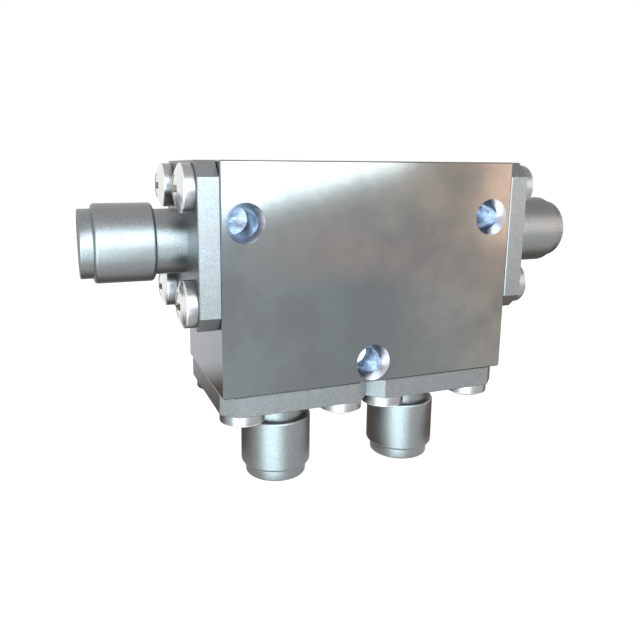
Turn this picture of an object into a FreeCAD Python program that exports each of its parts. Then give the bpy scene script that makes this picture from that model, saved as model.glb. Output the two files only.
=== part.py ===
import FreeCAD, Part
import os
import re
import Sketcher

V = FreeCAD.Vector
RIGHTWARD = V(1, 0, 0)
REARWARD = V(0, 1, 0)
UP = V(0, 0, 1)

# A coaxial circulator with two junctions in one block and four jacks: one at each end of the block and
# two underneath. +X is to the right, the front face with the mounting holes looks along -Y, and +Z is up.
# The origin is under the middle of the block, level with the ends of the two lower jacks.
# Lengths are in millimetres.
SIZES = {
    # The square flange of a jack and its four screws. The block is two flanges wide and one deep.
    "flange_side": "12.7",
    "flange_thick": "1.65",
    "flange_chamfer": "1.2",
    "flange_hole": "2.2",
    "head_margin": "0.205",
    "screw_core": "1.5",
    "screw_grip": "2.35",
    "tap_spare": "0.5",
    "head_dia": "3.65",
    "head_rim": "0.85",
    "head_dome": "0.5",
    "recess_span": "1.95",
    "recess_width": "0.54",
    "recess_depth": "0.9",
    "recess_floor_span": "0.95",
    "recess_floor_width": "0.34",
    # The block.
    "block_height": "17.9",
    "edge_break": "0.1",
    # The turned part of a jack, from its flange outwards.
    "neck_dia": "5.2",
    "neck_length": "2.35",
    "barrel_dia": "6.2",
    "barrel_length": "4.6",
    "barrel_round": "0.3",
    "nose_dia": "5.4",
    "nose_length": "1.0",
    "nose_round": "0.15",
    "mouth_dia": "4.6",
    "mouth_chamfer": "0.15",
    "mouth_depth": "1.9",
    # The coaxial line inside a jack.
    "line_dia": "4.1",
    "contact_dia": "1.27",
    "contact_length": "7.0",
    "socket_dia": "0.94",
    "socket_depth": "2.9",
    "socket_slot": "0.15",
    "socket_slot_depth": "2.0",
    "tail_dia": "0.9",
    # The strip conductor and the stack of discs on each side of it.
    "strip_thick": "0.2",
    "strip_disc_dia": "3.2",
    "arm_width": "1.4",
    "tongue_width": "0.8",
    "tongue_length": "0.55",
    "disc_dia": "5.8",
    "ferrite_thick": "1.1",
    "pole_thick": "0.5",
    "magnet_thick": "2.75",
    "compensator_thick": "0.4",
    # The lids at the rear.
    "lid_dia": "6.5",
    "spanner_dia": "0.8",
    "spanner_pitch": "4.0",
    "spanner_depth": "0.7",
    # The tapped mounting holes in the front face.
    "mount_tap": "2.26",
    "mount_mouth": "3.05",
    "mount_depth": "3.6",
    "mount_inset": "1.9",
    "mount_drop": "4.55",
    "mount_rise": "1.65",
    # Clearances: a turned fit and a disc in its pocket, both on the radius, and a strip in its slot.
    "turned_fit": "0.02",
    "pocket_fit": "0.05",
    "slot_fit": "0.02",
}

DRILL_POINT = 118
COUNTERSINK = 60

doc = FreeCAD.newDocument("rf_circulator")
sheet = doc.addObject("Spreadsheet::Sheet", "Sizes")
for row, (alias, number) in enumerate(SIZES.items(), 1):
    sheet.set(f"A{row}", alias)
    sheet.set(f"B{row}", number)
    sheet.setAlias(f"B{row}", alias)
doc.recompute()

SIZE_NAMES = re.compile(r"\b(" + "|".join(SIZES) + r")\b")

# Places that several pieces share. The port level is the height of the side jacks' axis and of the
# conductor's middle over the origin. A junction stands over each lower jack, half a flange from the middle.
PORT_REACH = "(flange_thick + neck_length + barrel_length + nose_length)"
PORT_LEVEL = f"({PORT_REACH} + block_height - flange_side / 2)"
BLOCK_SIDE = "flange_side"
BLOCK_FRONT = "flange_side / 2"
BLOCK_TOP = "flange_side / 2"
BLOCK_BOTTOM = "(flange_side / 2 - block_height)"
SCREW_PITCH = "(flange_side - head_dia - 2 * head_margin)"
JUNCTION = "(flange_side / 2)"
CAVITY_DIA = "(disc_dia + 2 * pocket_fit)"
HALF_STACK = "(strip_thick / 2 + ferrite_thick + pole_thick + magnet_thick + compensator_thick)"
LID_THICK = f"({BLOCK_FRONT} - {HALF_STACK})"
SIDE_REACH = f"({BLOCK_SIDE} - {JUNCTION} - {CAVITY_DIA} / 2)"
LOWER_REACH = f"(block_height - flange_side / 2 - {CAVITY_DIA} / 2)"


def in_sheet(formula):
    """The formula with each size's name turned into a reference to its cell."""
    return SIZE_NAMES.sub(r"Sizes.\1", formula)


def worth(formula):
    """What the formula comes to with the sheet as it stands."""
    return float(sheet.evalExpression(in_sheet(formula)))


def bind(item, name, formula):
    """Tie a property of the item to a formula of the sizes."""
    if formula != "0":
        item.setExpression(name, in_sheet(formula))


def place(item, x="0", y="0", z="0", turn=FreeCAD.Rotation()):
    """Turn the item about its own origin and carry that origin to the formulas' point."""
    item.Placement = FreeCAD.Placement(V(0, 0, 0), turn)
    bind(item, "Placement.Base.x", x)
    bind(item, "Placement.Base.y", y)
    bind(item, "Placement.Base.z", z)


def new_body(node):
    """An empty body that carries the node's name."""
    body = doc.addObject("PartDesign::Body", node)
    body.Label = node
    return body


def origin_item(body, role):
    """One of the body's own origin planes or axes."""
    return next(item for item in body.Origin.OriginFeatures if item.Role == role)


def sketch_on(body, role, name, across="0", up="0", out="0"):
    """A sketch on one of the body's own planes, shifted in the plane and out of it by the formulas."""
    sketch = body.newObject("Sketcher::SketchObject", name)
    sketch.AttachmentSupport = [(origin_item(body, role), "")]
    sketch.MapMode = "FlatFace"
    bind(sketch, "AttachmentOffset.Base.x", across)
    bind(sketch, "AttachmentOffset.Base.y", up)
    bind(sketch, "AttachmentOffset.Base.z", out)
    return sketch


def dimension(sketch, kind, where, formula):
    """Add a dimension to the sketch and tie it to the formula."""
    number = sketch.addConstraint(Sketcher.Constraint(kind, *where, worth(formula)))
    bind(sketch, f"Constraints[{number}]", formula)


def pin(sketch, edge, end, across, up):
    """Tie one point of an edge to its place from the sketch's origin."""
    for kind, zero_axis, formula in (("DistanceX", -2, across), ("DistanceY", -1, up)):
        if formula == "0":
            sketch.addConstraint(Sketcher.Constraint("PointOnObject", edge, end, zero_axis))
        else:
            dimension(sketch, kind, (-1, 1, edge, end), formula)


def quarter_circle(start, end, radius):
    """A quarter circle from one point to the other that turns left."""
    middle = (start + end + UP.cross(end - start)) / 2
    whole = Part.Circle(middle, UP, radius)
    return Part.ArcOfCircle(whole, whole.parameter(start), whole.parameter(end))


def outline(sketch, corners):
    """A closed outline through the corners, each given by two formulas.

    The edge that leaves a corner is straight, or with a third formula a quarter circle of that radius.
    """
    spots = [V(worth(across), worth(up), 0) for across, up, *rounding in corners]
    first = sketch.GeometryCount
    for (across, up, *rounding), start, end in zip(corners, spots, spots[1:] + spots[:1]):
        if rounding:
            sketch.addGeometry(quarter_circle(start, end, worth(rounding[0])), False)
        else:
            sketch.addGeometry(Part.LineSegment(start, end), False)
    for number, (across, up, *rounding) in enumerate(corners):
        before = first + (number - 1) % len(corners)
        sketch.addConstraint(Sketcher.Constraint("Coincident", first + number, 1, before, 2))
        pin(sketch, first + number, 1, across, up)
        if rounding:
            dimension(sketch, "Radius", (first + number,), rounding[0])


def rectangle(sketch, left, right, low, high):
    """A closed rectangle between four formulas."""
    outline(sketch, [(left, low), (right, low), (right, high), (left, high)])


def circle(sketch, across, up, diameter):
    """A circle at two formulas with its diameter tied to a third."""
    spot = V(worth(across), worth(up), 0)
    edge = sketch.addGeometry(Part.Circle(spot, UP, worth(diameter) / 2), False)
    pin(sketch, edge, 3, across, up)
    dimension(sketch, "Diameter", (edge,), diameter)


def four_circles(sketch, pitch, diameter):
    """Four circles on the corners of a square about the sketch's origin."""
    for across in (f"-{pitch} / 2", f"{pitch} / 2"):
        for up in (f"-{pitch} / 2", f"{pitch} / 2"):
            circle(sketch, across, up, diameter)


def pad(body, name, sketch, length, side="One side"):
    """Stand the sketch's outline up by a length, on one side of it or half on each."""
    item = body.newObject("PartDesign::Pad", name)
    item.Profile = sketch
    item.SideType = side
    bind(item, "Length", length)
    return item


def pocket(body, name, sketch, length=None, side="One side"):
    """Cut the sketch's outline out of the body, through it or down to a length."""
    item = body.newObject("PartDesign::Pocket", name)
    item.Profile = sketch
    item.SideType = side
    if length is None:
        item.Type = "ThroughAll"
    else:
        bind(item, "Length", length)
    return item


def turned(body, kind, name, sketch):
    """Turn the sketch's outline right round its upright axis, as solid (Revolution) or cut (Groove)."""
    item = body.newObject(f"PartDesign::{kind}", name)
    item.Profile = sketch
    item.ReferenceAxis = (sketch, ["V_Axis"])
    item.Angle = 360
    return item


def drilled(body, name, sketch, diameter, depth, reverse=False):
    """Blind drilled holes with a drill's point at the sketch's circles."""
    doc.recompute()
    item = body.newObject("PartDesign::Hole", name)
    item.Profile = sketch
    item.Reversed = reverse
    item.DepthType = "Dimension"
    item.DrillPoint = "Angled"
    item.DrillPointAngle = DRILL_POINT
    bind(item, "Diameter", diameter)
    bind(item, "Depth", depth)
    return item


def mirrored(body, name, features):
    """Repeat the features on the other side of the body's middle plane."""
    item = body.newObject("PartDesign::Mirrored", name)
    item.Originals = features
    item.MirrorPlane = (origin_item(body, "YZ_Plane"), [""])
    body.Tip = item


def polar(body, name, features, count, angle=360):
    """Repeat the features round the body's upright axis."""
    item = body.newObject("PartDesign::PolarPattern", name)
    item.Originals = features
    item.Axis = (origin_item(body, "Z_Axis"), [""])
    item.Angle = angle
    item.Occurrences = count
    body.Tip = item


def housing():
    """The block that everything is built into. Its own origin is midway between the two junctions.

    Each junction's cavity is turned out from the rear, with a wider seat for its lid at the mouth. One
    bore runs from end to end through both cavities, for the side jacks' lines and the link between the
    junctions, and one runs up into each cavity from below.
    """
    body = new_body("housing")
    front = sketch_on(body, "XZ_Plane", "block_front")
    rectangle(front, f"-{BLOCK_SIDE}", BLOCK_SIDE, BLOCK_BOTTOM, BLOCK_TOP)
    block = pad(body, "block", front, "flange_side", "Symmetric")
    doc.recompute()
    edges = body.newObject("PartDesign::Chamfer", "broken_edges")
    edges.Base = (block, [f"Edge{number}" for number in range(1, len(block.Shape.Edges) + 1)])
    bind(edges, "Size", "edge_break")

    section = sketch_on(body, "XY_Plane", "cavity_section", across=JUNCTION)
    cavity = f"{CAVITY_DIA} / 2"
    seat = "lid_dia / 2 + pocket_fit"
    outline(section, [
        ("0", f"-{HALF_STACK}"),
        (cavity, f"-{HALF_STACK}"),
        (cavity, HALF_STACK),
        (seat, HALF_STACK),
        (seat, BLOCK_FRONT),
        ("0", BLOCK_FRONT),
    ])
    cut_cavity = turned(body, "Groove", "cavity", section)
    mirrored(body, "other_cavity", [cut_cavity])

    end_to_end = sketch_on(body, "YZ_Plane", "line_circle")
    circle(end_to_end, "0", "0", "line_dia")
    pocket(body, "line_bore", end_to_end, side="Symmetric")
    upright = sketch_on(body, "XY_Plane", "lower_line_circles")
    circle(upright, f"-{JUNCTION}", "0", "line_dia")
    circle(upright, JUNCTION, "0", "line_dia")
    pocket(body, "lower_line_bores", upright)

    tap = "screw_core + 2 * turned_fit"
    tap_depth = "screw_grip + tap_spare"
    side_taps = sketch_on(body, "YZ_Plane", "side_tap_circles", out=BLOCK_SIDE)
    four_circles(side_taps, SCREW_PITCH, tap)
    side_holes = drilled(body, "side_taps", side_taps, tap, tap_depth)
    lower_taps = sketch_on(body, "XY_Plane", "lower_tap_circles", across=JUNCTION, out=BLOCK_BOTTOM)
    four_circles(lower_taps, SCREW_PITCH, tap)
    lower_holes = drilled(body, "lower_taps", lower_taps, tap, tap_depth, reverse=True)
    mirrored(body, "other_taps", [side_holes, lower_holes])

    mounts = sketch_on(body, "XZ_Plane", "mount_circles", out=BLOCK_FRONT)
    upper = f"{BLOCK_TOP} - mount_drop"
    circle(mounts, f"mount_inset - {BLOCK_SIDE}", upper, "mount_tap")
    circle(mounts, f"{BLOCK_SIDE} - mount_inset", upper, "mount_tap")
    circle(mounts, "0", f"{BLOCK_BOTTOM} + mount_rise", "mount_tap")
    holes = drilled(body, "mount_holes", mounts, "mount_tap", "mount_depth")
    holes.HoleCutType = "Countersink"
    holes.HoleCutCountersinkAngle = COUNTERSINK
    bind(holes, "HoleCutDiameter", "mount_mouth")
    place(body, z=PORT_LEVEL)
    return body


def jack_shell(port):
    """A jack's shell and flange, turned in one piece. Its own +Z points out of the jack from the block's face.

    The flange is square with chamfered corners. A neck, a barrel and a shorter nose ring stand on it, and
    the bore for the line opens into a wider round mouth at the end.
    """
    body = new_body(f"{port}_jack_shell")
    square = sketch_on(body, "XY_Plane", "flange_outline")
    far = "flange_side / 2"
    near = "(flange_side / 2 - flange_chamfer)"
    outline(square, [
        (near, f"-{far}"),
        (far, f"-{near}"),
        (far, near),
        (near, far),
        (f"-{near}", far),
        (f"-{far}", near),
        (f"-{far}", f"-{near}"),
        (f"-{near}", f"-{far}"),
    ])
    pad(body, "flange", square, "flange_thick")

    section = sketch_on(body, "XZ_Plane", "barrel_section")
    neck_end = "flange_thick + neck_length"
    barrel_end = f"{neck_end} + barrel_length"
    outline(section, [
        ("0", "0"),
        ("neck_dia / 2", "0"),
        ("neck_dia / 2", neck_end),
        ("barrel_dia / 2 - barrel_round", neck_end, "barrel_round"),
        ("barrel_dia / 2", f"{neck_end} + barrel_round"),
        ("barrel_dia / 2", f"{barrel_end} - barrel_round", "barrel_round"),
        ("barrel_dia / 2 - barrel_round", barrel_end),
        ("nose_dia / 2", barrel_end),
        ("nose_dia / 2", f"{PORT_REACH} - nose_round", "nose_round"),
        ("nose_dia / 2 - nose_round", PORT_REACH),
        ("0", PORT_REACH),
    ])
    turned(body, "Revolution", "barrel", section)

    bore = sketch_on(body, "XZ_Plane", "bore_section")
    outline(bore, [
        ("0", "0"),
        ("line_dia / 2", "0"),
        ("line_dia / 2", f"{PORT_REACH} - mouth_depth"),
        ("mouth_dia / 2", f"{PORT_REACH} - mouth_depth"),
        ("mouth_dia / 2", f"{PORT_REACH} - mouth_chamfer"),
        ("mouth_dia / 2 + mouth_chamfer", PORT_REACH),
        ("0", PORT_REACH),
    ])
    turned(body, "Groove", "bore", bore)

    holes = sketch_on(body, "XY_Plane", "flange_hole_circles", out="flange_thick")
    four_circles(holes, SCREW_PITCH, "flange_hole")
    pocket(body, "flange_holes", holes)
    return body


def dielectric(port, reach):
    """The sleeve that holds a jack's contact, from the mouth's floor to the edge of the junction's cavity."""
    body = new_body(f"{port}_dielectric")
    section = sketch_on(body, "XZ_Plane", "sleeve_section")
    outer = "line_dia / 2 - turned_fit"
    wide = "contact_dia / 2 + turned_fit"
    narrow = "tail_dia / 2 + turned_fit"
    front = f"{PORT_REACH} - mouth_depth"
    shoulder = f"{front} - contact_length - turned_fit"
    outline(section, [
        (narrow, f"-{reach}"),
        (outer, f"-{reach}"),
        (outer, front),
        (wide, front),
        (wide, shoulder),
        (narrow, shoulder),
    ])
    turned(body, "Revolution", "sleeve", section)
    return body


def contact(port, reach):
    """A jack's centre contact: a slotted socket in the mouth and, past a shoulder, a thinner split tail.

    The tail ends level with the sleeve, and the conductor's tongue lies in its slot.
    """
    body = new_body(f"{port}_contact")
    section = sketch_on(body, "XZ_Plane", "contact_section")
    front = f"{PORT_REACH} - mouth_depth"
    shoulder = f"{front} - contact_length"
    outline(section, [
        ("0", f"-{reach}"),
        ("tail_dia / 2", f"-{reach}"),
        ("tail_dia / 2", shoulder),
        ("contact_dia / 2", shoulder),
        ("contact_dia / 2", front),
        ("socket_dia / 2", front),
        ("socket_dia / 2", f"{front} - socket_depth"),
        ("0", f"{front} - socket_depth"),
    ])
    turned(body, "Revolution", "pin", section)

    slot = sketch_on(body, "YZ_Plane", "socket_slot_outline")
    rectangle(slot, "-socket_slot / 2", "socket_slot / 2", f"{front} - socket_slot_depth", front)
    cut_slot = pocket(body, "socket_slot", slot, side="Symmetric")
    polar(body, "socket_slots", [cut_slot], 2, 180)

    split = sketch_on(body, "YZ_Plane", "tail_slot_outline")
    half = "strip_thick / 2 + slot_fit"
    rectangle(split, f"-({half})", half, f"-{reach}", f"tongue_length + slot_fit - {reach}")
    pocket(body, "tail_slot", split, side="Symmetric")
    return body


def recess_cross(sketch, span, width):
    """The twelve-sided outline of a cross about the sketch's origin."""
    tip = f"{span} / 2"
    flank = f"{width} / 2"
    corners = [(tip, f"-{flank}"), (tip, flank), (flank, flank), (flank, tip), (f"-{flank}", tip),
               (f"-{flank}", flank), (f"-{tip}", flank), (f"-{tip}", f"-{flank}"), (f"-{flank}", f"-{flank}"),
               (f"-{flank}", f"-{tip}"), (flank, f"-{tip}"), (flank, f"-{flank}")]
    outline(sketch, corners)


def flange_screws(port):
    """A flange's four pan-head screws, each under a flat-sided rim and a low dome with a cross recess.

    The thread is drawn at its core, in a hole drawn at its tapping size.
    """
    body = new_body(f"{port}_flange_screws")
    body.AllowCompound = True
    corner = f"{SCREW_PITCH} / 2"
    section = sketch_on(body, "XZ_Plane", "screw_section", across=corner, out=corner)
    core = "screw_core / 2"
    rim = "head_dia / 2"
    rim_top = "flange_thick + head_rim"
    crown = f"{rim_top} + head_dome"
    sides = [("0", crown), ("0", "-screw_grip"), (core, "-screw_grip"), (core, "flange_thick"),
             (rim, "flange_thick"), (rim, rim_top)]
    spots = [V(worth(across), worth(up), 0) for across, up in sides]
    for start, end in zip(spots, spots[1:]):
        section.addGeometry(Part.LineSegment(start, end), False)
    radius = (worth(rim) ** 2 + worth("head_dome") ** 2) / (2 * worth("head_dome"))
    ball = Part.Circle(V(0, worth(crown) - radius, 0), UP, radius)
    dome = section.addGeometry(Part.ArcOfCircle(ball, ball.parameter(spots[-1]), ball.parameter(spots[0])), False)
    for number, (across, up) in enumerate(sides[:-1]):
        pin(section, number, 1, across, up)
        if number:
            section.addConstraint(Sketcher.Constraint("Coincident", number, 1, number - 1, 2))
    pin(section, dome, 1, rim, rim_top)
    section.addConstraint(Sketcher.Constraint("Coincident", dome - 1, 2, dome, 1))
    section.addConstraint(Sketcher.Constraint("Coincident", 0, 1, dome, 2))
    section.addConstraint(Sketcher.Constraint("PointOnObject", dome, 3, -2))
    screw = turned(body, "Revolution", "screw", section)

    mouth = sketch_on(body, "XY_Plane", "recess_mouth", across=corner, up=f"-{corner}", out=crown)
    recess_cross(mouth, "recess_span", "recess_width")
    floor = sketch_on(body, "XY_Plane", "recess_floor", across=corner, up=f"-{corner}",
                      out=f"{crown} - recess_depth")
    recess_cross(floor, "recess_floor_span", "recess_floor_width")
    recess = body.newObject("PartDesign::SubtractiveLoft", "recess")
    recess.Profile = mouth
    recess.Sections = [floor]
    recess.Ruled = True
    polar(body, "screws", [screw, recess], 4)
    return body


def centre_conductor():
    """The conductor of both junctions, cut from one thin strip that lies in the block's middle plane.

    A disc sits in each junction. A bar joins the discs and runs out to the side jacks, and an arm runs
    down from each disc. Every end narrows to a tongue for a contact's slot.
    """
    body = new_body("centre_conductor")
    cavity = f"{CAVITY_DIA} / 2"
    arm_end = f"({JUNCTION} + {cavity} - slot_fit)"
    tip = f"({JUNCTION} + {cavity} + tongue_length)"
    half_arm = "arm_width / 2"
    half_tongue = "tongue_width / 2"
    bar = sketch_on(body, "XZ_Plane", "bar_outline")
    outline(bar, [
        (f"-{arm_end}", f"-{half_arm}"),
        (arm_end, f"-{half_arm}"),
        (arm_end, f"-{half_tongue}"),
        (tip, f"-{half_tongue}"),
        (tip, half_tongue),
        (arm_end, half_tongue),
        (arm_end, half_arm),
        (f"-{arm_end}", half_arm),
        (f"-{arm_end}", half_tongue),
        (f"-{tip}", half_tongue),
        (f"-{tip}", f"-{half_tongue}"),
        (f"-{arm_end}", f"-{half_tongue}"),
    ])
    pad(body, "bar", bar, "strip_thick", "Symmetric")
    for side, middle in (("left", f"-{JUNCTION}"), ("right", JUNCTION)):
        disc = sketch_on(body, "XZ_Plane", f"{side}_disc_outline", across=middle)
        circle(disc, "0", "0", "strip_disc_dia")
        pad(body, f"{side}_disc", disc, "strip_thick", "Symmetric")
        arm = sketch_on(body, "XZ_Plane", f"{side}_arm_outline", across=middle)
        outline(arm, [
            (f"-{half_arm}", "0"),
            (f"-{half_arm}", f"slot_fit - {cavity}"),
            (f"-{half_tongue}", f"slot_fit - {cavity}"),
            (f"-{half_tongue}", f"-({cavity} + tongue_length)"),
            (half_tongue, f"-({cavity} + tongue_length)"),
            (half_tongue, f"slot_fit - {cavity}"),
            (half_arm, f"slot_fit - {cavity}"),
            (half_arm, "0"),
        ])
        pad(body, f"{side}_arm", arm, "strip_thick", "Symmetric")
    place(body, z=PORT_LEVEL)
    return body


def disc_stack(side, middle, half, sign):
    """The ferrite, pole piece, magnet and compensator on one side of the strip, each seated on the last."""
    discs = []
    outwards = FreeCAD.Rotation(UP, REARWARD * sign)
    inner = "strip_thick / 2"
    for name, thick in (("ferrite", "ferrite_thick"), ("pole_piece", "pole_thick"),
                        ("magnet", "magnet_thick"), ("compensator", "compensator_thick")):
        disc = doc.addObject("Part::Cylinder", f"{side}_{half}_{name}")
        disc.Label = f"{side}_{half}_{name}"
        bind(disc, "Radius", "disc_dia / 2")
        bind(disc, "Height", thick)
        place(disc, middle, f"{sign} * ({inner})", PORT_LEVEL, outwards)
        inner = f"{inner} + {thick}"
        discs.append(disc)
    return discs


def lid(side, middle):
    """A round lid, flush with the rear face, that clamps a junction's stack. It has two spanner holes."""
    body = new_body(f"{side}_lid")
    face = sketch_on(body, "XZ_Plane", "lid_outline")
    circle(face, "0", "0", "lid_dia")
    pad(body, "disc", face, LID_THICK)
    holes = sketch_on(body, "XZ_Plane", "spanner_circles")
    circle(holes, "-spanner_pitch / 2", "0", "spanner_dia")
    circle(holes, "spanner_pitch / 2", "0", "spanner_dia")
    cut = pocket(body, "spanner_holes", holes, "spanner_depth")
    cut.Reversed = True
    place(body, middle, BLOCK_FRONT, PORT_LEVEL)
    return body


# Each port: the way its jack points, its place on the block's face, and how far its line reaches into the
# block. A jack's own Y stays the block's.
PORTS = {
    "left": (-RIGHTWARD, f"-{BLOCK_SIDE}", PORT_LEVEL, SIDE_REACH),
    "lower_left": (-UP, f"-{JUNCTION}", PORT_REACH, LOWER_REACH),
    "lower_right": (-UP, JUNCTION, PORT_REACH, LOWER_REACH),
    "right": (RIGHTWARD, BLOCK_SIDE, PORT_LEVEL, SIDE_REACH),
}

parts = [housing(), centre_conductor()]
for side, middle in (("left", f"-{JUNCTION}"), ("right", JUNCTION)):
    parts += disc_stack(side, middle, "front", -1)
    parts += disc_stack(side, middle, "rear", 1)
    parts.append(lid(side, middle))
for port, (outward, x, z, reach) in PORTS.items():
    turn = FreeCAD.Rotation(REARWARD.cross(outward), REARWARD, outward, "ZYX")
    for piece in (jack_shell(port), dielectric(port, reach), contact(port, reach), flange_screws(port)):
        place(piece, x, "0", z, turn)
        parts.append(piece)
doc.recompute()

for item in doc.Objects:
    if "Invalid" in item.State or "Error" in item.State:
        raise SystemExit(f"{item.Label} could not be worked out")
for part in parts:
    if part.Shape.isNull() or not part.Shape.isValid():
        raise SystemExit(f"{part.Label} is not a sound solid")

os.makedirs("parts", exist_ok=True)
for part in parts:
    part.Shape.exportStep(f"parts/{part.Label}.step")
    box = part.Shape.BoundBox
    print(f"{part.Label:28s} {len(part.Shape.Solids)} solid(s) {part.Shape.Volume:9.3f} mm3",
          f"{box.XMin:7.2f} {box.XMax:7.2f} {box.YMin:6.2f} {box.YMax:6.2f} {box.ZMin:6.2f} {box.ZMax:6.2f}")
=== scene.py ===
import bmesh
import bpy
import math
from mathutils import Matrix, Vector


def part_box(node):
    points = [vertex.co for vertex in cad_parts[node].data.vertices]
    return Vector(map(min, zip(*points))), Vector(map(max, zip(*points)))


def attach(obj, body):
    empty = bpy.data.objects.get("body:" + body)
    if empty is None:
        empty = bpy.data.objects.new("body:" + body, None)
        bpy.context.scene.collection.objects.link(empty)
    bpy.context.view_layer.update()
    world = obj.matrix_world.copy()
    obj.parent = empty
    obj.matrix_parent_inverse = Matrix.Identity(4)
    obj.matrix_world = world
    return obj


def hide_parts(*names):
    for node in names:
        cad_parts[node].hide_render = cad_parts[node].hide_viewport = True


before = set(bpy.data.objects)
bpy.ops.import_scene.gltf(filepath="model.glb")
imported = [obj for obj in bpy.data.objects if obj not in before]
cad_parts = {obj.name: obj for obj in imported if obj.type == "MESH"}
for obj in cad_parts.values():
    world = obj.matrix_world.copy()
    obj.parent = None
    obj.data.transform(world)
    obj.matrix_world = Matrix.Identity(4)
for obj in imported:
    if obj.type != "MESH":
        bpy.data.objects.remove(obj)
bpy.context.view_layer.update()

# The view: a fairly wide bench lens close in front of the block, to its left and level with its plain top.
# The lens is shifted a little, which puts the object in the middle of the frame.
LENS_PLACE = (-0.023435, -0.050005, 0.026954)
LENS_TURN = (1.378340, -0.005164, -0.356559)
LENS_LENGTH = 34.961
SENSOR_WIDTH = 36.0
SHIFT_ACROSS = 0.04250
SHIFT_UP = -0.04832
NEAREST_SEEN = 0.001
lens = bpy.data.cameras.new("bench_lens")
lens.lens = LENS_LENGTH
lens.sensor_width = SENSOR_WIDTH
lens.shift_x = SHIFT_ACROSS
lens.shift_y = SHIFT_UP
lens.clip_start = NEAREST_SEEN
bench_camera = bpy.data.objects.new("bench_camera", lens)
bench_camera.location = LENS_PLACE
bench_camera.rotation_euler = LENS_TURN
bpy.context.scene.collection.objects.link(bench_camera)
bpy.context.scene.camera = bench_camera
bpy.context.scene.view_settings.view_transform = "Standard"


# The housing is a block of steel, milled on every face, lapped smooth in front and plated with nickel. Its
# holes are drilled and left as the drill cuts them, and a broken edge runs round each face.
class Signal:
    """A socket that carries a value over the surface. Each sum or product adds its Math node."""

    def __init__(self, tree, socket):
        self.tree = tree
        self.socket = socket

    def math(self, operation, *others):
        node = self.tree.nodes.new("ShaderNodeMath")
        node.operation = operation
        for number, term in enumerate((self, *others)):
            if isinstance(term, Signal):
                self.tree.links.new(term.socket, node.inputs[number])
            else:
                node.inputs[number].default_value = term
        return Signal(self.tree, node.outputs[0])

    def __add__(self, other):
        return self.math("ADD", other)

    __radd__ = __add__

    def __sub__(self, other):
        return self.math("SUBTRACT", other)

    def __rsub__(self, other):
        return self.math("MULTIPLY_ADD", -1.0, other)

    def __mul__(self, other):
        return self.math("MULTIPLY", other)

    __rmul__ = __mul__

    def __abs__(self):
        return self.math("ABSOLUTE")

    def clamped(self):
        return self.math("MAXIMUM", 0.0).math("MINIMUM", 1.0)


class Finish:
    """The nodes of one material, or of the room round the object, and the one way that a node is added."""

    def __init__(self, name, shelf=bpy.data.materials):
        self.home = shelf.new(name)
        self.home.use_nodes = True
        self.tree = self.home.node_tree
        self.tree.nodes.clear()

    def node(self, kind, settings=None, sockets=None):
        node = self.tree.nodes.new(kind)
        for name, value in (settings or {}).items():
            setattr(node, name, value)
        for name, value in (sockets or {}).items():
            if isinstance(value, Signal):
                value = value.socket
            if isinstance(value, bpy.types.NodeSocket):
                self.tree.links.new(value, node.inputs[name])
            else:
                node.inputs[name].default_value = value
        return node

    def place(self, stretch=(1.0, 1.0, 1.0)):
        """Object coordinates in metres, stretched for a grain that runs one way."""
        spot = self.node("ShaderNodeTexCoord").outputs["Object"]
        return self.node("ShaderNodeMapping", sockets={"Vector": spot, "Scale": stretch}).outputs[0]

    def vectors(self, operation, *terms):
        """A Vector Math node: it gives a vector, or a value for a length or a dot product."""
        node = self.node("ShaderNodeVectorMath", {"operation": operation}, dict(enumerate(terms)))
        if operation in ("LENGTH", "DOT_PRODUCT"):
            return Signal(self.tree, node.outputs["Value"])
        return node.outputs["Vector"]

    def from_axis(self, x, z):
        """How far the surface is from the line that runs from front to back through x and z."""
        away = self.vectors("SUBTRACT", self.place(), (x, 0.0, z))
        return self.vectors("LENGTH", self.vectors("MULTIPLY", away, (1.0, 0.0, 1.0)))

    def noise(self, vector, grain, detail=2.0, roughness=0.5):
        """Even noise of 0..1 whose features are about as wide as the grain, in metres."""
        node = self.node("ShaderNodeTexNoise", sockets={
            "Vector": vector, "Scale": 1.0 / grain, "Detail": detail, "Roughness": roughness})
        return Signal(self.tree, node.outputs[0])

    def ramp(self, value, start, end):
        """A share of 0 where the value is at the start, 1 where it is at the end, and held beyond both."""
        node = self.node("ShaderNodeMapRange", sockets={0: value, 1: start, 2: end, 3: 0.0, 4: 1.0})
        return Signal(self.tree, node.outputs[0])

    def blend(self, share, first, second):
        """A colour that goes from the first to the second as the share goes from 0 to 1."""
        node = self.node("ShaderNodeMix", {"data_type": "RGBA"}, {0: share, 6: first, 7: second})
        return node.outputs[2]

    def metal(self, color, roughness, relief, depth):
        """Metal with a fine relief, whose range of 0..1 stands for the depth in metres."""
        bump = self.node("ShaderNodeBump", sockets={"Height": relief, "Distance": depth, "Strength": 1.0})
        self.close(self.node("ShaderNodeBsdfPrincipled", sockets={
            "Base Color": color, "Metallic": 1.0, "Roughness": roughness, "Normal": bump.outputs[0]}))
        return self.home

    def close(self, shader, kind="ShaderNodeOutputMaterial"):
        self.node(kind, sockets={"Surface": shader.outputs[0]})


def dress(name, material):
    """Give a node of the frame its finish."""
    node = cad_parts[name]
    node.data.materials.clear()
    node.data.materials.append(material)


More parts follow.
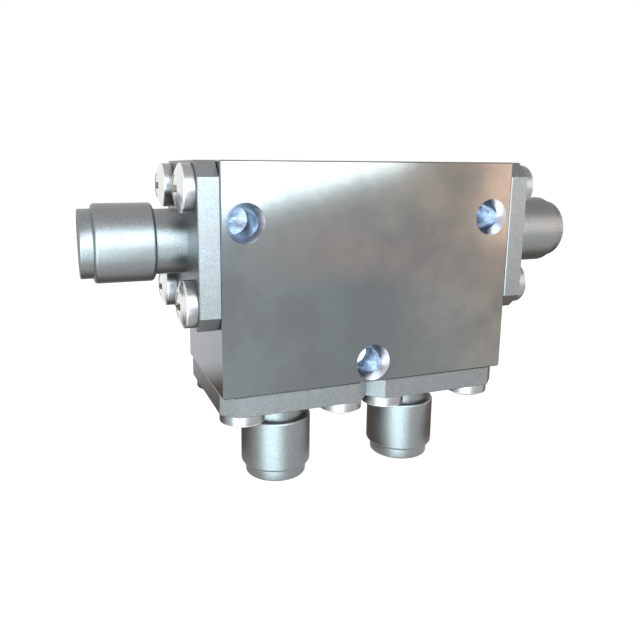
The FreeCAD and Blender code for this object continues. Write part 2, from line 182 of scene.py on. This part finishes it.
# The mounting holes: how far they stand in from the ends, the top and the underside of the block, and where
# the mouth, the bore and the drilled skin begin. Sizes are metres here and in all that follows.
block_low, block_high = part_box("housing")
HOLE_INSET = 0.00190
HOLE_DROP = 0.00455
HOLE_RISE = 0.00165
MOUTH_RADIUS, PAST_MOUTH = 0.001530, 0.001540
BORE_RADIUS, PAST_BORE = 0.001135, 0.001150
FACE_SKIN, UNDER_SKIN = 0.000004, 0.000012
HOLE_FLOOR, PAST_FLOOR = 0.0046, 0.0048
upper_level = block_high.z - HOLE_DROP
hole_places = (
    (block_low.x + HOLE_INSET, upper_level),
    (block_high.x - HOLE_INSET, upper_level),
    (0.0, block_low.z + HOLE_RISE))
LAPPED_DEPTH, MILLED_DEPTH = 0.00011, 0.00014

SLATE = (0.183, 0.205, 0.212, 1.0)
PALE_SLATE = (0.226, 0.253, 0.260, 1.0)
SAGE = (0.272, 0.290, 0.266, 1.0)
OLIVE = (0.298, 0.284, 0.256, 1.0)
ROSE = (0.276, 0.250, 0.238, 1.0)
AMBER = (0.308, 0.254, 0.216, 1.0)
CLOUD_REFLECTION_GREY = (0.158, 0.163, 0.164, 1.0)
SPECK_GREY = (0.130, 0.135, 0.140, 1.0)
MILLED_DARK = (0.190, 0.214, 0.240, 1.0)
MILLED_PALE = (0.222, 0.240, 0.260, 1.0)
BORE_REFLECTION_DARK = (0.43, 0.47, 0.54, 1.0)
BORE_REFLECTION_PALE = (0.80, 0.87, 0.94, 1.0)
MOUTH_DARK = (0.52, 0.50, 0.54, 1.0)
MOUTH_PALE = (0.62, 0.60, 0.61, 1.0)

plate = Finish("lapped_nickel_with_painted_reflections")
spot = plate.place()
cloud = plate.noise(spot, grain=0.0042, detail=4.0, roughness=0.55)
drift = plate.noise(spot, grain=0.013)
speck = plate.noise(spot, grain=0.00009, roughness=0.6)
lay = plate.noise(plate.place((1.0, 1.0, 40.0)), grain=0.0012)
parts = plate.node("ShaderNodeSeparateXYZ", sockets={"Vector": spot})
across = Signal(plate.tree, parts.outputs["X"])
depth = Signal(plate.tree, parts.outputs["Y"]) - block_low.y
up = Signal(plate.tree, parts.outputs["Z"])

# The lapped face is painted with the reflections it shows. Soft tints of painted reflection lie over it: each
# fades in from one place to another, to one side or on a slant, and the drift bends its edges by some
# millimetres.
PALE_FROM, PALE_TO = -0.002, -0.011
SAGE_FROM, SAGE_TO = 0.003, 0.014
OLIVE_FROM, OLIVE_TO = 0.0280, 0.0460
BAND_LEVEL, BAND_EDGE, BAND_CORE = 0.0219, 0.0034, 0.0006
BAND_FROM, BAND_TO = -0.0095, -0.0035
AMBER_FROM, AMBER_TO = 0.0300, 0.0450
color = plate.blend(plate.ramp(across, PALE_FROM, PALE_TO), SLATE, PALE_SLATE)
color = plate.blend(plate.ramp(across + drift * 0.006, SAGE_FROM, SAGE_TO), color, SAGE)
olive_reflection = plate.ramp(across * 0.6 + up * 1.2 + drift * 0.024, OLIVE_FROM, OLIVE_TO)
color = plate.blend(olive_reflection, color, OLIVE)
off_band = abs(up + across * 0.125 + drift * 0.004 - BAND_LEVEL)
rose_reflection_band = plate.ramp(off_band, BAND_EDGE, BAND_CORE) * plate.ramp(across, BAND_FROM, BAND_TO)
color = plate.blend(rose_reflection_band * 0.85, color, ROSE)
amber_reflection = plate.ramp(across * 1.4 + up * 0.9 + drift * 0.014, AMBER_FROM, AMBER_TO)
color = plate.blend(amber_reflection, color, AMBER)
# The grey clouds are painted reflection as well. The fine specks after them are the plating's own.
color = plate.blend(plate.ramp(cloud, 0.40, 0.66) * 0.55, color, CLOUD_REFLECTION_GREY)
color = plate.blend(plate.ramp(speck, 0.58, 0.80) * 0.35, color, SPECK_GREY)
roughness = 0.070 + cloud * 0.05 + speck * 0.04 + lay * 0.02

# Behind the front face and its broken edge the milled faces begin, which are a little duller.
milled = plate.ramp(depth, LAPPED_DEPTH, MILLED_DEPTH)
color = plate.blend(milled, color, plate.blend(cloud, MILLED_DARK, MILLED_PALE))
roughness = roughness + milled * 0.10

# Each hole has a countersunk mouth and a bore, told apart by how far they are from the hole's own line.
bore = 0.0
mouth = 0.0
for side, level in hole_places:
    radius = plate.from_axis(side, level)
    mouth = mouth + plate.ramp(radius, PAST_MOUTH, MOUTH_RADIUS)
    bore = bore + plate.ramp(radius, PAST_BORE, BORE_RADIUS)
cut = plate.ramp(depth, FACE_SKIN, UNDER_SKIN) * plate.ramp(depth, PAST_FLOOR, HOLE_FLOOR)
mouth = mouth * cut
bore = bore * cut
drill_marks_and_sheen = plate.noise(plate.place((0.3, 0.5, 1.0)), grain=0.0006, detail=3.0, roughness=0.6)
color = plate.blend(mouth, color, plate.blend(speck, MOUTH_DARK, MOUTH_PALE))
# The bore's bands of pale blue and darker grey-blue are painted reflection of the lit panel in front. The
# same noise gives the drill marks in the bore's relief and the mouth's roughness.
color = plate.blend(bore, color, plate.blend(plate.ramp(drill_marks_and_sheen, 0.38, 0.62), BORE_REFLECTION_DARK, BORE_REFLECTION_PALE))
roughness = roughness + mouth * (0.20 + drill_marks_and_sheen * 0.10 - roughness)
relief = speck + lay * 0.4 + cloud * 7.0 + bore * drill_marks_and_sheen * 2.0
dress("housing", plate.metal(color, roughness, relief, depth=0.0000006))

# The lids are turned from the same steel and plated with the block. Two spanner holes take the key that
# screws them down on the stack of discs.
TURNED_DARK = (0.26, 0.26, 0.255, 1.0)
TURNED_PALE = (0.32, 0.315, 0.30, 1.0)
for side in ("left", "right"):
    turned_plate = Finish(f"{side}_turned_plate")
    lid_low, lid_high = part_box(f"{side}_lid")
    middle = (lid_low + lid_high) / 2
    radius = turned_plate.from_axis(middle.x, middle.z)
    tool_path = turned_plate.node("ShaderNodeCombineXYZ", sockets={"X": radius}).outputs[0]
    rings = turned_plate.noise(tool_path, grain=0.00008)
    speck = turned_plate.noise(turned_plate.place(), grain=0.00012)
    color = turned_plate.blend(speck, TURNED_DARK, TURNED_PALE)
    dress(f"{side}_lid", turned_plate.metal(color, 0.24 + rings * 0.14, rings + speck * 0.3, depth=0.0000012))

# The jack shells are turned from stainless bar with the square flange in one piece, then blasted with fine
# glass beads, which leaves a pale, even sparkle.
PORTS = {"left": (-1, 0, 0), "lower_left": (0, 0, -1), "lower_right": (0, 0, -1), "right": (1, 0, 0)}
BLASTED_DARK = (0.180, 0.187, 0.187, 1.0)
BLASTED_PALE = (0.306, 0.318, 0.322, 1.0)
HANDLED = (0.235, 0.225, 0.212, 1.0)
EDGE_BREAK = 0.00006
SAME_SPOT = 0.000001
LONG_EDGE = 0.001
FLAT_ANGLE = math.radians(0.5)
SHARP_ANGLE = math.radians(60)
SMOOTH_ANGLE = math.radians(28)
blasted = Finish("bead_blasted_stainless")
spot = blasted.place()
sparkle = blasted.noise(spot, grain=0.00011, detail=3.0, roughness=0.7)
patch = blasted.noise(spot, grain=0.0022)
color = blasted.blend(blasted.ramp(sparkle, 0.30, 0.72), BLASTED_DARK, BLASTED_PALE)
color = blasted.blend(blasted.ramp(patch, 0.4, 0.7) * 0.3, color, HANDLED)
roughness = 0.29 + sparkle * 0.12 + patch * 0.05
stainless = blasted.metal(color, roughness, sparkle, depth=0.0000100)


def make(name, body, finishes):
    """Turn a finished bmesh into an object of the scene, with its place in its mesh."""
    data = bpy.data.meshes.new(name)
    body.to_mesh(data)
    body.free()
    for finish in finishes:
        data.materials.append(finish)
    thing = bpy.data.objects.new(name, data)
    bpy.context.scene.collection.objects.link(thing)
    return thing


for port in PORTS:
    dress(f"{port}_jack_shell", stainless)
    body = bmesh.new()
    body.from_mesh(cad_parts[f"{port}_jack_shell"].data)
    bmesh.ops.remove_doubles(body, verts=body.verts, dist=SAME_SPOT)
    bmesh.ops.dissolve_limit(body, angle_limit=FLAT_ANGLE, verts=body.verts, edges=body.edges)
    rims = [edge for edge in body.edges if edge.is_manifold and edge.is_convex
            and edge.calc_length() > LONG_EDGE and edge.calc_face_angle() > SHARP_ANGLE]
    bmesh.ops.bevel(body, geom=rims, offset=EDGE_BREAK, offset_type="OFFSET", segments=1, profile=0.5,
                    affect="EDGES", clamp_overlap=True, material=-1)
    body.normal_update()
    for face in body.faces:
        face.smooth = True
    for edge in body.edges:
        edge.smooth = edge.calc_face_angle(0.0) < SMOOTH_ANGLE
    shell = make(f"{port}_shell", body, [stainless])
    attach(shell, "root")
    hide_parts(f"{port}_jack_shell")

# The dielectric sleeves are machined from white PTFE and pressed into the shells. The cut face is waxy and
# slightly milky.
PTFE_DARK = (0.86, 0.86, 0.83, 1.0)
PTFE_PALE = (0.93, 0.93, 0.91, 1.0)
MILKY_SHARE = 0.15
MILKY_DEPTH = 0.0005
TOOLING_DEPTH = 0.000002
waxy = Finish("white_ptfe")
spot = waxy.place()
tooling = waxy.noise(spot, grain=0.00015)
haze = waxy.noise(spot, grain=0.0012)
bump = waxy.node("ShaderNodeBump", sockets={"Height": tooling, "Distance": TOOLING_DEPTH, "Strength": 1.0})
waxy.close(waxy.node("ShaderNodeBsdfPrincipled", sockets={
    "Base Color": waxy.blend(haze, PTFE_DARK, PTFE_PALE),
    "Roughness": 0.38 + tooling * 0.12,
    "Subsurface Weight": MILKY_SHARE,
    "Subsurface Scale": MILKY_DEPTH,
    "Normal": bump.outputs[0]}))
for port in PORTS:
    dress(f"{port}_dielectric", waxy.home)

# The contacts are turned from beryllium copper, slotted and plated with gold. They stand in the middle of
# the sleeves.
GOLD_DARK = (0.80, 0.55, 0.20, 1.0)
GOLD_PALE = (0.90, 0.68, 0.32, 1.0)
gilded = Finish("gold_plate")
spot = gilded.place()
wear = gilded.noise(spot, grain=0.0005, detail=3.0, roughness=0.6)
fine = gilded.noise(spot, grain=0.00006)
gold = gilded.metal(gilded.blend(wear, GOLD_DARK, GOLD_PALE), 0.18 + fine * 0.12, fine, depth=0.0000008)
for port in PORTS:
    dress(f"{port}_contact", gold)

# The flange screws are pan heads of stainless steel, cold formed and tumbled, with a cross recess. Their
# steel comes in three copies: a near-white one on the dome as painted highlight, and darker ones on the rim's
# side and in the recess as painted shade.
# Four hold each flange: the upright rim, the low dome and the recess show, and the shank is screwed in.
# The dome is given a near-white steel as painted highlight. The scuffs over it are wear.
HEAD_DARK = (0.78, 0.79, 0.81, 1.0)
HEAD_PALE = (0.87, 0.87, 0.86, 1.0)
tumbled = Finish("screw_dome_painted_highlight")
spot = tumbled.place()
scuff = tumbled.noise(spot, grain=0.0003, detail=3.0, roughness=0.6)
fine = tumbled.noise(spot, grain=0.00007)
color = tumbled.blend(scuff, HEAD_DARK, HEAD_PALE)
lit_dome_steel = tumbled.metal(color, 0.20 + scuff * 0.12, fine + scuff * 0.5, depth=0.0000006)

# The rim's side is a much darker copy of the head's steel: painted shade. The streaks over it are the steel's
# own.
RIM_DARK = (0.29, 0.29, 0.31, 1.0)
RIM_PALE = (0.40, 0.39, 0.37, 1.0)
rolled = Finish("screw_side_painted_shade")
streak = rolled.noise(rolled.place(), grain=0.0004, detail=3.0, roughness=0.6)
color = rolled.blend(streak, RIM_DARK, RIM_PALE)
shaded_rim_steel = rolled.metal(color, 0.27 + streak * 0.10, streak, depth=0.0000010)

# The recess is painted dark brown, as painted shade in its hollow. The mottle over it is the steel's own.
RECESS_SHADE_DARK = (0.13, 0.105, 0.085, 1.0)
RECESS_SHADE_PALE = (0.22, 0.18, 0.15, 1.0)
pressed = Finish("recess_painted_shade")
scale = pressed.noise(pressed.place(), grain=0.0002, detail=3.0, roughness=0.6)
color = pressed.blend(scale, RECESS_SHADE_DARK, RECESS_SHADE_PALE)
shaded_recess_steel = pressed.metal(color, 0.38 + scale * 0.10, scale, depth=0.0000015)

# One screw is modelled in millimetres, upright on its seat, and made metres at the end. The recess is given
# as half spans, at the dome and at its floor, where its arms are shorter and narrower.
MILLIMETRE = 0.001
HEAD_RADIUS = 1.825
RIM_TALL = 0.85
HEAD_TALL = 1.35
DOME_RADIUS = (HEAD_RADIUS ** 2 + (HEAD_TALL - RIM_TALL) ** 2) / (2 * (HEAD_TALL - RIM_TALL))
DOME_STEPS = 12
ROUND_STEPS = 64
RIM_ROUNDING = 0.055
SHANK_RADIUS = 0.75
SHANK_LENGTH = 4.0
SPAN, FLOOR_SPAN = 0.975, 0.475
ARM, FLOOR_ARM = 0.27, 0.17
RECESS_DEPTH = 0.9
RECESS_FIELD = 1.3
ALIKE = 0.001
SAME_POINT = 0.0001
ON_PLANE = 0.00005
WALL_SLACK = 0.02
FLOOR_SLACK = 0.05
HEAD_SMOOTH_ANGLE = math.radians(32)
screw = bmesh.new()
line = [(0.0, -SHANK_LENGTH), (SHANK_RADIUS, -SHANK_LENGTH), (SHANK_RADIUS, 0.0),
        (HEAD_RADIUS, 0.0), (HEAD_RADIUS, RIM_TALL)]
for step in range(DOME_STEPS - 1, -1, -1):
    out = HEAD_RADIUS * step / DOME_STEPS
    line.append((out, HEAD_TALL - DOME_RADIUS + math.sqrt(DOME_RADIUS ** 2 - out ** 2)))
knots = [screw.verts.new((out, 0.0, height)) for out, height in line]
side = [screw.edges.new(pair) for pair in zip(knots, knots[1:])]
bmesh.ops.spin(screw, geom=knots + side, cent=(0, 0, 0), axis=(0, 0, 1), angle=math.tau, steps=ROUND_STEPS,
               use_merge=True)
bmesh.ops.remove_doubles(screw, verts=screw.verts, dist=SAME_POINT)
bmesh.ops.recalc_face_normals(screw, faces=screw.faces)
rims = []
for edge in screw.edges:
    level = abs(edge.verts[0].co.z - edge.verts[1].co.z) < ALIKE
    if level and all(abs(end.co.xy.length - HEAD_RADIUS) < ALIKE for end in edge.verts):
        rims.append(edge)
bmesh.ops.bevel(screw, geom=rims, offset=RIM_ROUNDING, offset_type="OFFSET", segments=3, profile=0.5,
                affect="EDGES", material=-1)

# The cross is cut into the dome's faces by planes along its arms' sides and ends, then pressed down.
for axis in (0, 1):
    for place in (-SPAN, -ARM, ARM, SPAN):
        dome = [face for face in screw.faces if face.calc_center_median().z > RIM_TALL
                and face.calc_center_median().xy.length < RECESS_FIELD]
        near = set(dome)
        near |= {edge for face in dome for edge in face.edges}
        near |= {end for face in dome for end in face.verts}
        point = [0.0, 0.0, 0.0]
        point[axis] = place
        normal = [0.0, 0.0, 0.0]
        normal[axis] = 1.0
        bmesh.ops.bisect_plane(screw, geom=list(near), dist=ON_PLANE, plane_co=point, plane_no=normal)
cross = []
for face in screw.faces:
    middle = face.calc_center_median()
    nearer, farther = sorted((abs(middle.x), abs(middle.y)))
    if middle.z > RIM_TALL and nearer < ARM and farther < SPAN:
        cross.append(face)
sunk = bmesh.ops.extrude_face_region(screw, geom=cross)["geom"]
bmesh.ops.delete(screw, geom=[face for face in cross if face.is_valid], context="FACES")
recess_floor = HEAD_TALL - RECESS_DEPTH
for end in sunk:
    if isinstance(end, bmesh.types.BMVert):
        for axis in (0, 1):
            reach = abs(end.co[axis])
            if reach <= ARM:
                drawn = reach * FLOOR_ARM / ARM
            else:
                drawn = FLOOR_ARM + (reach - ARM) * (FLOOR_SPAN - FLOOR_ARM) / (SPAN - ARM)
            end.co[axis] = math.copysign(drawn, end.co[axis])
        end.co.z = recess_floor
bmesh.ops.recalc_face_normals(screw, faces=screw.faces)
screw.normal_update()
steels = [lit_dome_steel, shaded_rim_steel, shaded_recess_steel]
for face in screw.faces:
    face.smooth = True
    middle = face.calc_center_median()
    lowest = min(end.co.z for end in face.verts)
    # The rim's side takes the darker copy and the recess faces the dark brown one, both painted shade.
    if middle.xy.length > HEAD_RADIUS - WALL_SLACK and middle.z < RIM_TALL - RIM_ROUNDING:
        face.material_index = steels.index(shaded_rim_steel)
    elif middle.xy.length < SPAN and 0.0 < middle.z < HEAD_TALL and lowest < recess_floor + FLOOR_SLACK:
        face.material_index = steels.index(shaded_recess_steel)
for edge in screw.edges:
    edge.smooth = edge.calc_face_angle(0.0) < HEAD_SMOOTH_ANGLE
bmesh.ops.scale(screw, vec=(MILLIMETRE, MILLIMETRE, MILLIMETRE), verts=screw.verts)
one_screw = bpy.data.meshes.new("one_screw")
screw.to_mesh(one_screw)
screw.free()

# Four screws stand on each flange, whose outer face is one thickness out from the block. The frame says how
# far they stand from the flange's middle.
FLANGE_THICK = 0.00165
for port, outward in PORTS.items():
    shell_low, shell_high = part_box(f"{port}_jack_shell")
    screws_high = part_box(f"{port}_flange_screws")[1]
    spread = screws_high.y - HEAD_RADIUS * MILLIMETRE
    out = Vector(outward)
    half_length = abs((shell_high - shell_low).dot(out)) / 2
    seat = (shell_low + shell_high) / 2 + out * (FLANGE_THICK - half_length)
    rise = Vector((0, 1, 0))
    turn = Matrix((rise.cross(out), rise, out)).transposed().to_4x4()
    four = bmesh.new()
    for across in (-spread, spread):
        for along in (-spread, spread):
            before = len(four.verts)
            four.from_mesh(one_screw)
            four.verts.ensure_lookup_table()
            hole = Matrix.Translation(seat) @ turn @ Matrix.Translation((across, along, 0.0))
            bmesh.ops.transform(four, matrix=hole, verts=four.verts[before:])
    heads = make(f"{port}_screw_heads", four, steels)
    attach(heads, "root")
    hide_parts(f"{port}_flange_screws")
bpy.data.meshes.remove(one_screw)


# The strip conductor and the discs of the junctions are closed in by the block and its lids. The strip is
# plated with silver, the ferrites are ground dark ceramic and the other discs are ground steel alloys.
def ground(name, dark, pale, dullness, nodes):
    """A finish with fine marks that run one way, for pieces ground or rolled flat."""
    finish = Finish(name)
    marks = finish.noise(finish.place((1.0, 1.0, 12.0)), grain=0.0004, detail=3.0, roughness=0.6)
    material = finish.metal(finish.blend(marks, dark, pale), dullness + marks * 0.1, marks, depth=0.000001)
    for node in nodes:
        dress(node, material)


def each(disc):
    """The four discs of one kind: in front of the strip and behind it, in both junctions."""
    return [f"{side}_{half}_{disc}" for side in ("left", "right") for half in ("front", "rear")]


ground("silver_strip", dark=(0.72, 0.70, 0.64, 1.0), pale=(0.80, 0.78, 0.73, 1.0), dullness=0.25,
       nodes=["centre_conductor"])
ground("ground_ferrite", dark=(0.030, 0.030, 0.034, 1.0), pale=(0.055, 0.055, 0.058, 1.0), dullness=0.45,
       nodes=each("ferrite"))
ground("ground_pole_steel", dark=(0.34, 0.34, 0.34, 1.0), pale=(0.42, 0.42, 0.41, 1.0), dullness=0.30,
       nodes=each("pole_piece"))
ground("ground_magnet", dark=(0.20, 0.20, 0.21, 1.0), pale=(0.27, 0.27, 0.27, 1.0), dullness=0.40,
       nodes=each("magnet"))
ground("rolled_trim_alloy", dark=(0.38, 0.37, 0.35, 1.0), pale=(0.46, 0.45, 0.43, 1.0), dullness=0.28,
       nodes=each("compensator"))


# The bench: a plain white floor under the object. It is white to the camera and keeps the object's shadow.
# The metal looks past it, to the cards and to the white room.
def shows(finish):
    """One for what the camera, the metal and the plastic see, and nought for the light that falls."""
    path = finish.node("ShaderNodeLightPath").outputs
    seen = Signal(finish.tree, path["Is Camera Ray"]) + Signal(finish.tree, path["Is Glossy Ray"])
    return (seen + Signal(finish.tree, path["Is Transmission Ray"])).clamped()


WHITE = (1.0, 1.0, 1.0, 1.0)
FLOOR_GREY = (0.22, 0.22, 0.22, 1.0)
FLOOR_GLOW = 0.90
FLOOR_HALF = 3.0
white_floor = Finish("white_floor")
paint = white_floor.node("ShaderNodeBsdfDiffuse", sockets={"Color": FLOOR_GREY})
glow = white_floor.node("ShaderNodeEmission", sockets={
    "Color": WHITE, "Strength": shows(white_floor) * FLOOR_GLOW})
white_floor.close(white_floor.node("ShaderNodeAddShader", sockets={0: paint.outputs[0], 1: glow.outputs[0]}))
flat = bmesh.new()
bmesh.ops.create_grid(flat, x_segments=1, y_segments=1, size=FLOOR_HALF)
floor = make("floor", flat, [white_floor.home])
floor.visible_glossy = False

# The room round the bench is painted white all over. It looks white to the camera, the metal and the plastic,
# and its own light on the object is softer than that.
ROOM_LIGHT = 0.55
room = Finish("white_room", bpy.data.worlds)
strength = ROOM_LIGHT + shows(room) * (1.0 - ROOM_LIGHT)
room.close(room.node("ShaderNodeBackground", sockets={"Color": WHITE, "Strength": strength}),
           "ShaderNodeOutputWorld")
bpy.context.scene.world = room.home


# The lamps are lit panels: a cool one in front on the left, which the front face mirrors as its white zone, a
# warm one on the right, and a dim one overhead that the metal doesn't show.
def panel(name, middle, along, facing, width, tall, radiance, color):
    """A lit panel: its middle, the way its long edge runs, the way it faces, and its brightness."""
    lamp = bpy.data.lights.new(name, "AREA")
    lamp.shape = "RECTANGLE"
    lamp.size = width
    lamp.size_y = tall
    lamp.color = color
    lamp.energy = radiance * math.pi * width * tall
    stand = bpy.data.objects.new(name, lamp)
    back = -Vector(facing).normalized()
    edge = Vector(along).normalized()
    turn = Matrix((edge, back.cross(edge), back)).transposed().to_4x4()
    stand.matrix_world = Matrix.Translation(middle) @ turn
    stand.visible_camera = False
    bpy.context.scene.collection.objects.link(stand)
    return stand


panel("front_panel", middle=(-0.0465, -0.120, 0.0560), along=(0.968, 0.0, 0.2506), facing=(0.0, 1.0, 0.0),
      width=0.218, tall=0.112, radiance=5.8, color=(0.73, 0.89, 1.0))
panel("right_panel", middle=(0.170, -0.090, 0.060), along=(0.55, 0.83, 0.0), facing=(-0.83, 0.55, 0.0),
      width=0.16, tall=0.12, radiance=1.35, color=(1.0, 0.80, 0.66))
overhead = panel("ceiling_panel", middle=(0.0, 0.05, 0.220), along=(1.0, 0.0, 0.0), facing=(0.0, 0.0, -1.0),
                 width=0.60, tall=0.36, radiance=0.75, color=(1.0, 0.96, 0.90))
overhead.visible_glossy = False


# The cards are glowing sheets that only the metal's reflections show, so what they give is painted
# reflection. A pale one hangs high on the right, dark brown ones lie just over the floor as painted shade in
# the reflections of the undersides, and a bright one stands in front on the left, lower than the floor, which
# the metal looks past.
def card(name, middle, along, facing, width, tall, strength, color, soft):
    """A card, fading out along its edges over the soft share of its half width and height."""
    painted_reflection_sheet = Finish(name)
    edge = Vector(along).normalized()
    face = Vector(facing).normalized()
    rise = face.cross(edge)
    away = painted_reflection_sheet.vectors("SUBTRACT", painted_reflection_sheet.place(), middle)
    across = abs(painted_reflection_sheet.vectors("DOT_PRODUCT", away, edge))
    up = abs(painted_reflection_sheet.vectors("DOT_PRODUCT", away, rise))
    end = width / 2
    top = tall / 2
    body = painted_reflection_sheet.ramp(across, end, end * (1 - soft)) * painted_reflection_sheet.ramp(up, top, top * (1 - soft))
    light = painted_reflection_sheet.node("ShaderNodeEmission", sockets={"Color": (*color, 1.0), "Strength": strength})
    clear = painted_reflection_sheet.node("ShaderNodeBsdfTransparent")
    painted_reflection_sheet.close(painted_reflection_sheet.node("ShaderNodeMixShader", sockets={
        0: body, 1: clear.outputs[0], 2: light.outputs[0]}))
    painted_reflection_sheet.home.cycles.emission_sampling = "NONE"
    sheet = bmesh.new()
    bmesh.ops.create_grid(sheet, x_segments=1, y_segments=1, size=0.5)
    bmesh.ops.scale(sheet, vec=(width, tall, 1.0), verts=sheet.verts)
    turn = Matrix((edge, rise, face)).transposed().to_4x4()
    bmesh.ops.transform(sheet, matrix=Matrix.Translation(middle) @ turn, verts=sheet.verts)
    hung = make(name, sheet, [painted_reflection_sheet.home])
    hung.visible_camera = False
    hung.visible_diffuse = False
    hung.visible_shadow = False
    hung.visible_transmission = False


RIGHTWARD = (1.0, 0.0, 0.0)
UPWARD = (0.0, 0.0, 1.0)
DOWNWARD = (0.0, 0.0, -1.0)
BROWN = (1.0, 0.78, 0.62)
card("ceiling_card", (0.230, 0.03, 0.150), RIGHTWARD, DOWNWARD,
     width=0.40, tall=0.44, strength=0.62, color=(1.0, 1.0, 0.96), soft=0.3)
card("dark_card_near", (0.0, 0.0140, 0.00010), RIGHTWARD, UPWARD,
     width=0.140, tall=0.035, strength=0.16, color=BROWN, soft=0.5)
card("dark_card_between", (0.0012, 0.0080, 0.00020), RIGHTWARD, UPWARD,
     width=0.0042, tall=0.030, strength=0.19, color=BROWN, soft=0.5)
card("dark_card_right", (0.0425, 0.0118, 0.00020), RIGHTWARD, UPWARD,
     width=0.066, tall=0.0385, strength=0.19, color=BROWN, soft=0.08)
card("dark_card_behind", (0.031, 0.070, 0.00015), RIGHTWARD, UPWARD,
     width=0.098, tall=0.110, strength=0.27, color=(1.0, 0.80, 0.66), soft=0.15)
card("low_card", (-0.126, -0.2010, -0.0970), (0.847, -0.532, 0.0), (0.532, 0.847, 0.41),
     width=0.38, tall=0.24, strength=5.1, color=(0.74, 0.93, 1.0), soft=0.6)
